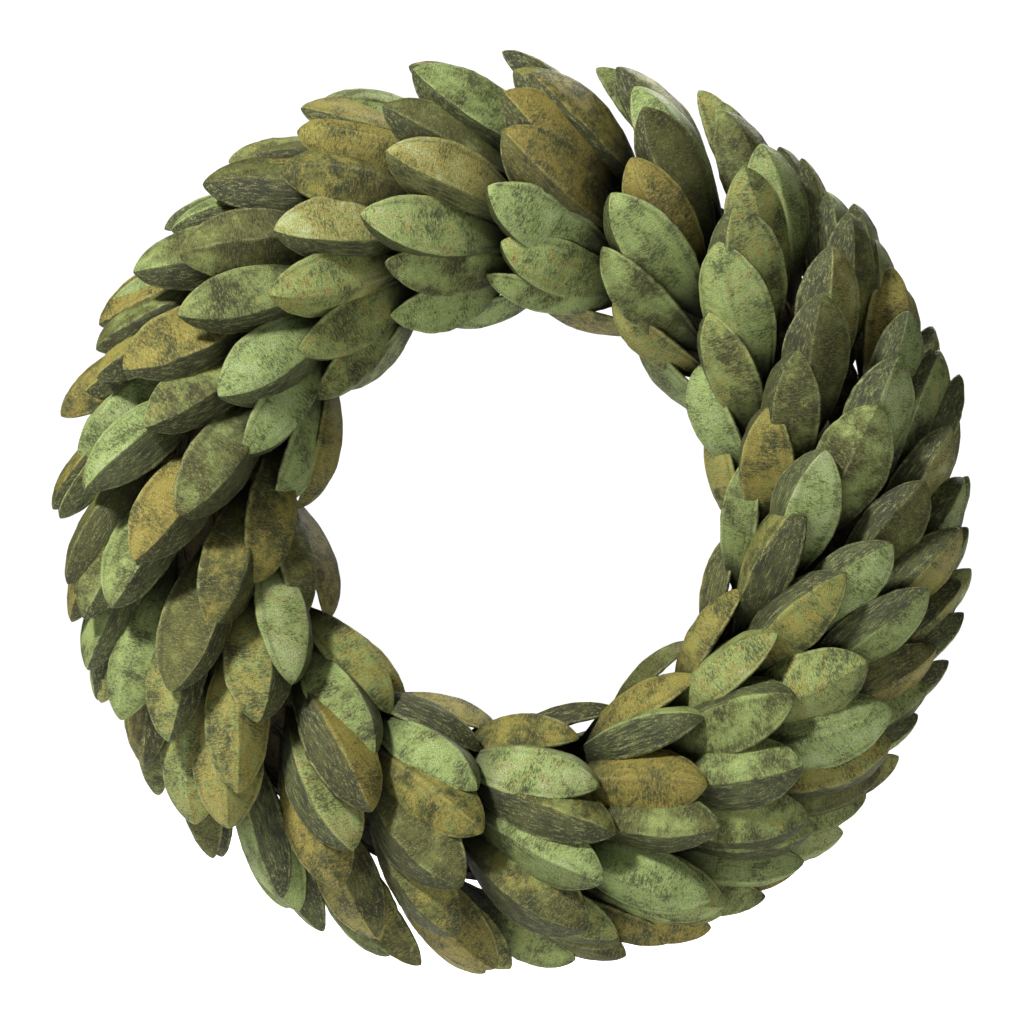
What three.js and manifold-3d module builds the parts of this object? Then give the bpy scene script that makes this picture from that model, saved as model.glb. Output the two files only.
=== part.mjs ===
// A dried-pod wreath on a wire wreath frame. Four steel rings and six cross braces make a flat
// frame, a ring of pressed straw is tied to its front, and rows of woody seed pods are glued round
// the straw so that every tip sweeps counter-clockwise. A loop on the frame's back hangs it.
// Millimetres, hanging upright: +Z up, the front towards -Y, the wall at y = 0, and the origin
// where the raised hanging loop meets its nail. Turns round the wreath start at +X and grow
// counter-clockwise as seen from the front.
import * as THREE from 'three';
import { mergeVertices } from 'three/addons/utils/BufferGeometryUtils.js';
import Module from 'manifold-3d';

// Straw ring: a D section with a flat back, straight sides and a rounded front.
const ringRadius = 184;
const strawHalfWidth = 43;
const strawSide = 20;
const strawCrown = 42;
const ringSteps = 30;
const crownSteps = 6;

// Wire frame, sunk into grooves in the straw's back.
const wireRadius = 1.6;
const frameRadii = { inner: 148, inner_middle: 172, outer_middle: 196, outer: 220 };
const frameRingY = -5.6;
const braceY = -2;
const braceCount = 6;
const braceOverhang = 3;
const grooveHalfWidth = 2.1;
const wireSides = 6;

// Wire ties round the straw and its frame.
const tieCount = 6;
const tieTurn = 18;
const tieThickness = 1.6;
const tieGap = 0.4;

// Hanging loop, pivoting on the frame's outer middle ring inside a pocket in the straw.
const loopWire = 1.4;
const loopHalfWidth = 13;
const loopReach = 20.4;
const loopEyeBore = 2.15;
const loopEyeRadius = 3.8;
const loopEyeLength = 5;
const loopPivotDrop = 1.35;
const pocketHalfWidth = 24;
const pocketRadii = [167, 225];
const pocketDepth = 9.6;

// Pods: each row has a place round the section in degrees (0 is the outer rim, 90 the front,
// 180 the hole), the number of pods, the sweep of its tips towards the rim and their lift off the
// straw in degrees, the pods' length, where the row starts in pod spacings, how far its pods'
// seats stand off the straw, and how far its pods roll back from facing straight out.
const podRows = [
  { band: 'hole', place: 177, count: 12, sweep: 9, lift: 24, length: 90, start: 0.8, seat: -5, roll: 0 },
  { band: 'hole', place: 157, count: 13, sweep: 12, lift: 24, length: 95, start: 0.3, seat: -4, roll: 0 },
  { band: 'hole', place: 135, count: 15, sweep: 15, lift: 23, length: 101, start: 0.8, seat: -1, roll: 0 },
  { band: 'front', place: 114, count: 17, sweep: 18, lift: 22, length: 105, start: 0.3, seat: 1, roll: 0 },
  { band: 'front', place: 93, count: 19, sweep: 20, lift: 21, length: 106, start: 0.75, seat: 3, roll: 0 },
  { band: 'front', place: 72, count: 21, sweep: 20, lift: 21, length: 106, start: 0.2, seat: 4, roll: 0 },
  { band: 'front', place: 52, count: 24, sweep: 17, lift: 21, length: 105, start: 0.65, seat: 3, roll: -6 },
  { band: 'rim', place: 34, count: 26, sweep: 12, lift: 22, length: 105, start: 0.15, seat: 2, roll: -16 },
  { band: 'rim', place: 17, count: 28, sweep: 2, lift: 24, length: 103, start: 0.6, seat: 1, roll: -27 },
  { band: 'rim', place: 3, count: 29, sweep: -8, lift: 26, length: 100, start: 0.1, seat: 2, roll: -34 },
];
const podTail = 10;
const podWidth = 42;
const podRidge = 14;
const podBelly = 1.5;
const podBow = 3.5;
const podLean = 0.3;
const podGap = 0.6;
const sliverSize = 0.1;
const sectorCount = 12;
const rootReach = 9;
const rootRise = 3;
const tailClearance = 12;
const glueRadius = 2.2;

// A pod's outline from tail to tip: how fast each end widens, and the product at the widest.
const tailPower = 1.15;
const tipPower = 0.72;
const widest = 0.2876;

// How far single pods stray from their row's values.
const stray = {
  along: 0.06,
  place: 2,
  sweep: 4.5,
  lift: 2,
  roll: 10,
  length: 0.07,
  width: 0.1,
  lean: 0.34,
  ridge: 0.22,
  curl: 2.2,
};

const degree = Math.PI / 180;
const hangHeight = frameRadii.outer_middle - loopPivotDrop + loopReach - 2 * loopWire;

const finishes = {
  wire: new THREE.MeshStandardMaterial({ color: 0x4b5140, roughness: 0.55, metalness: 0.8 }),
  straw: new THREE.MeshStandardMaterial({ color: 0x6d6238, roughness: 0.95, metalness: 0 }),
  steel: new THREE.MeshStandardMaterial({ color: 0x9a9c98, roughness: 0.4, metalness: 0.9 }),
  pods: new THREE.MeshStandardMaterial({ color: 0x6f7f48, roughness: 0.6, metalness: 0.1 }),
};

const wasm = await Module();
wasm.setup();

const wreath = new THREE.Group();
const hung = new THREE.Group();
hung.position.z = -hangHeight;
wreath.add(hung);

function addPiece(name, geometry, finish) {
  const piece = new THREE.Mesh(geometry, finishes[finish]);
  piece.name = name;
  hung.add(piece);
  return piece;
}

// Solids into and out of the boolean library.

function toSolid(geometry) {
  const bare = geometry.clone();
  bare.deleteAttribute('normal');
  bare.deleteAttribute('uv');
  const merged = mergeVertices(bare, 1e-4);
  return new wasm.Manifold(new wasm.Mesh({
    numProp: 3,
    vertProperties: new Float32Array(merged.attributes.position.array),
    triVerts: new Uint32Array(merged.index.array),
  }));
}

function toGeometry(solid) {
  const mesh = solid.getMesh();
  const geometry = new THREE.BufferGeometry();
  geometry.setAttribute('position', new THREE.BufferAttribute(mesh.vertProperties, 3));
  geometry.setIndex(new THREE.BufferAttribute(mesh.triVerts, 1));
  geometry.computeVertexNormals();
  return geometry;
}

function biggestPart(solid) {
  const parts = solid.decompose();
  return parts.reduce((best, part) => (part.volume() > best.volume() ? part : best));
}

// A box standing on the wreath's back at one turn, spanning two radii, for cutting grooves.
function backBox(turn, radii, halfWidth, depth) {
  const box = new THREE.BoxGeometry(radii[1] - radii[0], 2 * depth, 2 * halfWidth);
  box.translate((radii[0] + radii[1]) / 2, 0, 0);
  box.rotateY(-turn);
  return box;
}

// Places round the wreath.

function aroundRing(turn, radius, y) {
  return new THREE.Vector3(radius * Math.cos(turn), y, radius * Math.sin(turn));
}

// Radius and y of a place on the straw's front, stood off by an offset.
function sectionPoint(place, offset) {
  const width = strawHalfWidth + offset;
  const height = strawCrown + offset;
  return [ringRadius + width * Math.cos(place), -strawSide - height * Math.sin(place)];
}

// The D outline, stood off from the straw, as points of radius and y from the back's inner
// corner over the front to the back's outer corner.
function sectionOutline(offset, backY) {
  const outline = [new THREE.Vector2(ringRadius - strawHalfWidth - offset, backY)];
  for (let step = crownSteps; step >= 0; step -= 1) {
    const [radius, y] = sectionPoint((step / crownSteps) * Math.PI, offset);
    outline.push(new THREE.Vector2(radius, y));
  }
  outline.push(new THREE.Vector2(ringRadius + strawHalfWidth + offset, backY));
  return outline;
}

// Unit directions on the straw's surface: along the ring, towards the rim, and outwards.
function surfaceAxes(turn, place) {
  const along = new THREE.Vector3(-Math.sin(turn), 0, Math.cos(turn));
  const radial = strawCrown * Math.cos(place);
  const forward = strawHalfWidth * Math.sin(place);
  const out = aroundRing(turn, radial, -forward).normalize();
  const rimward = new THREE.Vector3().crossVectors(along, out);
  return { along, rimward, out };
}

// Wire frame: rings and braces.

function addFrameRings() {
  for (const [name, radius] of Object.entries(frameRadii)) {
    const section = new THREE.Path();
    section.absarc(radius, frameRingY, wireRadius, 0, 2 * Math.PI, false);
    const outline = section.getSpacedPoints(wireSides);
    outline[wireSides].copy(outline[0]);
    addPiece(`frame_ring_${name}`, new THREE.LatheGeometry(outline, ringSteps), 'wire');
  }
}

function braceTurns() {
  return Array.from({ length: braceCount }, (_, index) => (index * 360 * degree) / braceCount);
}

const braceRadii = [frameRadii.inner - braceOverhang, frameRadii.outer + braceOverhang];

function addBraces() {
  const [near, far] = braceRadii;
  braceTurns().forEach((turn, index) => {
    const bar = new THREE.CylinderGeometry(wireRadius, wireRadius, far - near, wireSides);
    bar.rotateZ(-90 * degree);
    bar.translate((near + far) / 2, braceY, 0);
    bar.rotateY(-turn);
    addPiece(`cross_brace_${index + 1}`, bar, 'wire');
  });
}

// Wire ties.

function tieTurns() {
  return Array.from({ length: tieCount }, (_, index) => (
    (tieTurn + (index * 360) / tieCount) * degree
  ));
}

function addTies() {
  const inside = sectionOutline(tieGap, -tieGap - tieThickness).reverse();
  const outside = sectionOutline(tieGap + tieThickness, -tieGap);
  tieTurns().forEach((turn, index) => {
    const outline = new THREE.Shape(outside);
    outline.holes.push(new THREE.Path(inside));
    const tie = new THREE.ExtrudeGeometry(outline, {
      depth: tieThickness,
      bevelEnabled: false,
    });
    tie.translate(0, 0, -tieThickness / 2);
    tie.rotateY(-turn);
    addPiece(`wire_tie_${index + 1}`, tie, 'wire');
  });
}

// Straw ring, with grooves for the frame and the ties and a pocket for the hanging loop.

function strawOutline() {
  const outline = sectionOutline(0, 0);
  const grooveDepth = frameRingY - wireRadius - tieGap;
  for (const radius of Object.values(frameRadii).reverse()) {
    const near = radius - grooveHalfWidth;
    const far = radius + grooveHalfWidth;
    outline.push(
      new THREE.Vector2(far, 0),
      new THREE.Vector2(far, grooveDepth),
      new THREE.Vector2(near, grooveDepth),
      new THREE.Vector2(near, 0),
    );
  }
  outline.push(outline[0].clone());
  return outline;
}

function addStraw() {
  let straw = toSolid(new THREE.LatheGeometry(strawOutline(), ringSteps));
  const across = [ringRadius - strawHalfWidth - 5, ringRadius + strawHalfWidth + 5];
  const grooveRadii = [braceRadii[0] - 1, braceRadii[1] + 1];
  const grooveDepth = -braceY + wireRadius + tieGap;
  for (const turn of braceTurns()) {
    straw = straw.subtract(toSolid(backBox(turn, grooveRadii, grooveHalfWidth, grooveDepth)));
  }
  for (const turn of tieTurns()) {
    const depth = tieThickness + 2 * tieGap;
    straw = straw.subtract(toSolid(backBox(turn, across, tieThickness / 2 + tieGap, depth)));
  }
  const pocket = backBox(90 * degree, pocketRadii, pocketHalfWidth, pocketDepth);
  addPiece('straw_ring', toGeometry(straw.subtract(toSolid(pocket))), 'straw');
}

// Hanging loop: a bent wire with an eye rolled on each end round the frame's ring.

function eyeAt(x, radius, length) {
  const barrel = new THREE.CylinderGeometry(radius, radius, length, 12);
  barrel.rotateZ(90 * degree);
  barrel.translate(x, 0, 0);
  return toSolid(barrel);
}

function addHangingLoop() {
  const legEnd = -(loopEyeBore + loopEyeRadius) / 2;
  const bendRadius = loopHalfWidth * 0.8;
  const low = -loopReach + loopWire;
  const route = new THREE.CurvePath();
  const corners = [
    new THREE.Vector3(-loopHalfWidth, 0, legEnd),
    new THREE.Vector3(-loopHalfWidth, 0, low + bendRadius),
    new THREE.Vector3(-loopHalfWidth, 0, low),
    new THREE.Vector3(-loopHalfWidth + bendRadius, 0, low),
  ];
  const mirrored = corners.map((point) => new THREE.Vector3(-point.x, 0, point.z));
  route.add(new THREE.LineCurve3(corners[0], corners[1]));
  route.add(new THREE.QuadraticBezierCurve3(corners[1], corners[2], corners[3]));
  route.add(new THREE.LineCurve3(corners[3], mirrored[3]));
  route.add(new THREE.QuadraticBezierCurve3(mirrored[3], mirrored[2], mirrored[1]));
  route.add(new THREE.LineCurve3(mirrored[1], mirrored[0]));
  const section = new THREE.Shape().absarc(0, 0, loopWire, 0, 2 * Math.PI);
  const wire = new THREE.ExtrudeGeometry(section, {
    extrudePath: route,
    steps: 22,
    curveSegments: 4,
  });
  let loop = toSolid(wire);
  for (const x of [-loopHalfWidth, loopHalfWidth]) {
    loop = loop.add(eyeAt(x, loopEyeRadius, loopEyeLength));
  }
  for (const x of [-loopHalfWidth, loopHalfWidth]) {
    loop = loop.subtract(eyeAt(x, loopEyeBore, loopEyeLength + 2));
  }
  const piece = addPiece('hanging_loop', toGeometry(loop), 'steel');
  piece.position.set(0, frameRingY, frameRadii.outer_middle - loopPivotDrop);
}

// Pods.

// The same even scatter from -1 to 1 for a given pod and trait every time.
function scatter(pod, trait) {
  let mixed = Math.imul(pod * 61 + trait * 7 + 1, 2654435761) >>> 0;
  mixed = Math.imul(mixed ^ (mixed >>> 15), 2246822519) >>> 0;
  mixed = (mixed ^ (mixed >>> 13)) >>> 0;
  return (mixed / 4294967296) * 2 - 1;
}

// Ridges lean to the hole, but to the rim at the bottom of the wreath.
function leanSense(turn) {
  return Math.max(-0.8, Math.min(1, 1.2 + 2 * Math.sin(turn)));
}

// One pod's place, axes and size, from its row, its number in the row and its own number.
function podAt(row, index, pod) {
  const turn = ((index + row.start + stray.along * scatter(pod, 0)) / row.count) * 360 * degree;
  const place = (row.place + stray.place * scatter(pod, 1)) * degree;
  const sweep = (row.sweep + stray.sweep * scatter(pod, 2)) * degree;
  const lift = (row.lift + stray.lift * scatter(pod, 3)) * degree;
  const roll = (row.roll + stray.roll * scatter(pod, 4)) * degree;
  const { along, rimward, out } = surfaceAxes(turn, place);
  const axis = along.clone().multiplyScalar(Math.cos(sweep));
  axis.addScaledVector(rimward, Math.sin(sweep)).multiplyScalar(Math.cos(lift));
  axis.addScaledVector(out, Math.sin(lift));
  const up = out.clone().addScaledVector(axis, -Math.sin(lift)).normalize();
  up.applyAxisAngle(axis, roll);
  const [radius, y] = sectionPoint(place, row.seat);
  return {
    turn,
    seat: aroundRing(turn, radius, y),
    axis,
    up,
    side: new THREE.Vector3().crossVectors(up, axis),
    length: row.length * (1 + stray.length * scatter(pod, 5)),
    width: podWidth * (1 + stray.width * scatter(pod, 6)),
    lean: podLean * leanSense(turn) + stray.lean * scatter(pod, 7),
    ridge: podRidge * (1 + stray.ridge * scatter(pod, 9)),
    curl: stray.curl * scatter(pod, 11),
  };
}

// A thick almond with a leaning ridge along its face, drawn out from a sphere of few faces. Its
// tail ends at its root, a point inside another pod, or just behind its own seat.
function podGeometry(pod, root, grow) {
  const geometry = new THREE.SphereGeometry(1, 4, 5);
  const spots = geometry.attributes.position;
  const spot = new THREE.Vector3();
  for (let i = 0; i < spots.count; i += 1) {
    spot.fromBufferAttribute(spots, i);
    const share = (1 - spot.y) / 2;
    const girth = Math.hypot(spot.x, spot.z);
    const arch = 4 * share * (1 - share);
    const fullness = (share ** tailPower * (1 - share) ** tipPower) / widest;
    const across = girth > 0.01 ? spot.x / girth : 0;
    const upward = girth > 0.01 ? spot.z / girth : 0;
    const halfWidth = (pod.width / 2) * fullness + grow;
    const thickness = (upward > 0 ? pod.ridge : podBelly) * fullness + grow;
    const run = share * (pod.length + 2 * grow) - grow - podTail;
    const shift = Math.max(upward, 0) * pod.lean;
    const rise = upward * thickness + podBow * arch;
    spot.copy(pod.seat).addScaledVector(pod.axis, run);
    spot.addScaledVector(pod.side, (across + shift) * halfWidth + pod.curl * arch);
    spot.addScaledVector(pod.up, rise);
    if (root && share < 0.01) spot.copy(root);
    spots.setXYZ(i, spot.x, spot.y, spot.z);
  }
  return geometry;
}

// A straight string of glue between two points.
function glueString(from, to, radius) {
  const reach = new THREE.Vector3().subVectors(to, from);
  const string = new THREE.CylinderGeometry(radius, radius, reach.length(), 3);
  const upright = new THREE.Vector3(0, 1, 0);
  string.applyQuaternion(new THREE.Quaternion().setFromUnitVectors(upright, reach.normalize()));
  const middle = from.clone().add(to).multiplyScalar(0.5);
  return string.translate(middle.x, middle.y, middle.z);
}

function heartOf(pod) {
  return pod.seat.clone().addScaledVector(pod.axis, rootReach).addScaledVector(pod.up, rootRise);
}

// The pod of a list whose heart is nearest to a pod's seat.
function nearestTo(pod, others) {
  return others.reduce((best, other) => (
    heartOf(other).distanceTo(pod.seat) < heartOf(best).distanceTo(pod.seat) ? other : best
  ));
}

// Pods glued into one bunch. A pod roots in the nearest one behind it, or where there is none a
// string of glue joins it to the nearest pod before it.
function bunchSolid(pods, grow) {
  let bunch = null;
  pods.forEach((pod, i) => {
    const before = pods.slice(0, i);
    const behind = before.filter((other) => (
      heartOf(other).sub(pod.seat).dot(pod.axis) < -tailClearance
    ));
    const root = behind.length ? nearestTo(pod, behind) : null;
    const solid = toSolid(podGeometry(pod, root && heartOf(root), grow));
    bunch = bunch ? bunch.add(solid) : solid;
    if (before.length && !root) {
      const string = glueString(heartOf(nearestTo(pod, before)), heartOf(pod), glueRadius + grow);
      bunch = bunch.add(toSolid(string));
    }
  });
  return bunch;
}

function sortIntoBunches() {
  const bunches = new Map();
  let pod = 0;
  for (const row of podRows) {
    for (let index = 0; index < row.count; index += 1) {
      const placed = podAt(row, index, pod);
      const wrapped = (placed.turn / (360 * degree) + 1) % 1;
      const name = `${row.band}_pods_${Math.floor(wrapped * sectorCount) + 1}`;
      if (!bunches.has(name)) bunches.set(name, []);
      bunches.get(name).push({ ...placed, along: wrapped });
      pod += 1;
    }
  }
  for (const pods of bunches.values()) {
    pods.sort((a, b) => a.along - b.along);
  }
  return bunches;
}

// Bunches from the hole out to the rim, each cut clear of the straw and of the bunches before it.
function addPods() {
  const clearance = sectionOutline(tieGap + tieThickness + podGap, 0);
  clearance.push(clearance[0].clone());
  const keepOut = [toSolid(new THREE.LatheGeometry(clearance, ringSteps))];
  for (const [name, pods] of sortIntoBunches()) {
    let bunch = bunchSolid(pods, 0);
    for (const taken of keepOut) {
      bunch = bunch.subtract(taken);
    }
    addPiece(name, toGeometry(biggestPart(bunch).simplify(sliverSize)), 'pods');
    keepOut.push(bunchSolid(pods, podGap).add(bunchSolid(pods, 0)));
  }
}

addFrameRings();
addBraces();
addTies();
addStraw();
addHangingLoop();
addPods();

export default wreath;
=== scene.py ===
# A dried seed-pod wreath on its wire frame, hung by the loop on the frame's back.
# Metres, +Z up, the front towards -Y. Sizes in the dictionaries are millimetres unless a note says so.
import math
import bpy
import bmesh
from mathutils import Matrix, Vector, noise


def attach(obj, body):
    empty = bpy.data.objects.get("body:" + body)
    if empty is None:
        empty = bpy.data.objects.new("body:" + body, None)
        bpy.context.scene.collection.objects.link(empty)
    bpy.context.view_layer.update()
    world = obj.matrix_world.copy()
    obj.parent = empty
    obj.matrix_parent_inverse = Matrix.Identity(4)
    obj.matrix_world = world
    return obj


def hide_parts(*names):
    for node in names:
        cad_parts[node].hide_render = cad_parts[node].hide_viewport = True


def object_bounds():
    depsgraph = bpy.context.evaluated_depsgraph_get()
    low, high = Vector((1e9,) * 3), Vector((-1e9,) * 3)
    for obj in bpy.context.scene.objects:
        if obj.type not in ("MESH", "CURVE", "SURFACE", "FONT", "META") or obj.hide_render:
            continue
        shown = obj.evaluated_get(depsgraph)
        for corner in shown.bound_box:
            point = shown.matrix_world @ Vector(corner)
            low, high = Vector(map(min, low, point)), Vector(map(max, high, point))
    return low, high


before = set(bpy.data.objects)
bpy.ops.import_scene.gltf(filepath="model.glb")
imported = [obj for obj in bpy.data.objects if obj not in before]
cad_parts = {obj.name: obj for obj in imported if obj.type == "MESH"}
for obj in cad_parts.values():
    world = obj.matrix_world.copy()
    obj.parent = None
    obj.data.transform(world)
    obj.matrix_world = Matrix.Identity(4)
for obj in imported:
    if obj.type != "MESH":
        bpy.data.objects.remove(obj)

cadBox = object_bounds()
mm = 0.001
turnRound = 2 * math.pi


class Plug:  # one output of a node, so that shader and geometry sums read as sums
    def __init__(self, bench, socket):
        self.bench = bench
        self.socket = socket

    def __add__(self, other):
        return self.bench.math("ADD", self, other)

    def __sub__(self, other):
        return self.bench.math("SUBTRACT", self, other)

    def __rsub__(self, other):
        return self.bench.math("SUBTRACT", other, self)

    def __mul__(self, other):
        return self.bench.math("MULTIPLY", self, other)

    def __truediv__(self, other):
        return self.bench.math("DIVIDE", self, other)

    def __pow__(self, other):
        return self.bench.math("POWER", self, other)

    def __abs__(self):
        return self.bench.math("ABSOLUTE", self)

    __radd__ = __add__
    __rmul__ = __mul__


class Bench:  # a node tree being built
    def __init__(self, tree):
        self.tree = tree

    def node(self, kind, settings=None, sockets=None, out=0):
        made = self.tree.nodes.new(kind)
        for name, value in (settings or {}).items():
            setattr(made, name, value)
        for name, value in (sockets or {}).items():
            self.plugIn(made, name, value)
        live = [socket for socket in made.outputs if socket.enabled]
        if isinstance(out, str):
            return Plug(self, next(socket for socket in live if socket.name == out))
        return Plug(self, live[out]) if live else made

    def plugIn(self, made, name, value):
        if isinstance(name, int):
            socket = made.inputs[name]
        else:
            socket = next(one for one in made.inputs if one.name == name and one.enabled)
        if isinstance(value, Plug):
            self.tree.links.new(value.socket, socket)
        else:
            socket.default_value = value

    def math(self, operation, *values):
        return self.node("ShaderNodeMath", {"operation": operation}, dict(enumerate(values)))

    def clamped(self, value):
        return self.node("ShaderNodeMath", {"operation": "ADD", "use_clamp": True}, {0: value, 1: 0.0})

    def vectorMath(self, operation, *values):
        return self.node("ShaderNodeVectorMath", {"operation": operation}, dict(enumerate(values)))

    def scaled(self, vector, factor):
        return self.node("ShaderNodeVectorMath", {"operation": "SCALE"}, {"Vector": vector, "Scale": factor})

    def ranged(self, value, fromLow, fromHigh, toLow=0.0, toHigh=1.0):
        return self.node("ShaderNodeMapRange", {"interpolation_type": "SMOOTHSTEP"}, {
            "Value": value, "From Min": fromLow, "From Max": fromHigh, "To Min": toLow, "To Max": toHigh})

    def noise(self, vector, scale, detail=3.0, roughness=0.55, distortion=0.0):
        return self.node("ShaderNodeTexNoise", None, {"Vector": vector, "Scale": scale, "Detail": detail,
                         "Roughness": roughness, "Distortion": distortion})

    def mixed(self, factor, first, second):
        mix = self.tree.nodes.new("ShaderNodeMix")
        mix.data_type = "RGBA"
        for index, value in ((0, factor), (6, first), (7, second)):  # factor, colours A and B
            self.plugIn(mix, index, value if isinstance(value, (Plug, float, int)) else (*value, 1))
        return Plug(self, mix.outputs[2])


class Geometry(Bench):  # a Geometry Nodes tree with named inputs
    def __init__(self, name, inputs):
        super().__init__(bpy.data.node_groups.new(name, "GeometryNodeTree"))
        self.keys = {}
        for label, kind in [("Geometry", "NodeSocketGeometry"), *inputs.items()]:
            made = self.tree.interface.new_socket(name=label, in_out="INPUT", socket_type=kind)
            self.keys[label] = made.identifier
        self.tree.interface.new_socket(name="Geometry", in_out="OUTPUT", socket_type="NodeSocketGeometry")
        self.entry = self.tree.nodes.new("NodeGroupInput")
        self.exit = self.tree.nodes.new("NodeGroupOutput")

    def given(self, label):
        return Plug(self, next(socket for socket in self.entry.outputs if socket.name == label))

    def attribute(self, name, kind="FLOAT"):
        return self.node("GeometryNodeInputNamedAttribute", {"data_type": kind}, {"Name": name})

    def stored(self, geometry, name, value, kind="FLOAT"):
        return self.node("GeometryNodeStoreNamedAttribute", {"data_type": kind, "domain": "POINT"},
                         {"Geometry": geometry, "Name": name, "Value": value})

    def finish(self, geometry, finish):
        real = self.node("GeometryNodeRealizeInstances", None, {"Geometry": geometry})
        painted = self.node("GeometryNodeSetMaterial", None, {"Geometry": real, "Material": finish})
        self.plugIn(self.exit, "Geometry", painted)


def runTree(piece, geometry, values):  # gives a piece the tree's result as its plain mesh
    modifier = piece.modifiers.new(geometry.tree.name, "NODES")
    modifier.node_group = geometry.tree
    for label, value in values.items():
        modifier[geometry.keys[label]] = value
    graph = bpy.context.evaluated_depsgraph_get()
    graph.update()
    made = bpy.data.meshes.new_from_object(piece.evaluated_get(graph))
    made.name = piece.name
    piece.modifiers.clear()
    piece.data = made
    return piece


def newPiece(name, mesh=None):
    piece = bpy.data.objects.new(name, mesh or bpy.data.meshes.new(name))
    bpy.context.scene.collection.objects.link(piece)
    return piece


def newFinish(name):
    finish = bpy.data.materials.new(name)
    finish.use_nodes = True
    bench = Bench(finish.node_tree)
    shader = finish.node_tree.nodes["Principled BSDF"]
    return finish, bench, shader


# Colours and sheen of the dyed pods. Scales are in cycles a millimetre, bumpDepth is in metres, and
# each share says how strongly a colour is laid over the ones before it.
# deep is near-black painted shade; wall mixes the wall's own darker paint with painted shade; rim mixes worn
# paint with painted highlight.
podPaint = {
    "mint": (0.32, 0.425, 0.135), "silver": (0.44, 0.54, 0.28), "olive": (0.105, 0.110, 0.020),
    "gold": (0.32, 0.255, 0.042), "deep": (0.006, 0.009, 0.001), "rim": (0.38, 0.40, 0.18),
    "wall": (0.040, 0.046, 0.009), "rough": 0.66, "satin": 0.40, "metallic": 0.35,
    "bump": 0.9, "bumpDepth": 0.0013, "broadScale": 0.055, "patchScale": 0.17, "speckleScale": 1.9,
    "wrinkleScale": 0.95, "fibreScale": 0.8, "pitScale": 0.8,
    "giltShare": 0.85, "giltLostOnWall": 0.45, "silverShare": 0.8, "wallPaintAndShadeShare": 0.90, "creaseShadeShare": 0.78,
    "speckleShadeShare": 0.62, "wornShare": 0.5, "pitShadeShare": 0.9, "ridgeHighlightShare": 0.28, "lipWearAndHighlightShare": 0.5,
    "outlineShadeShare": 0.4, "grooveShadeShare": 0.2, "tailShadeShare": 0.92,
}


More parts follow.
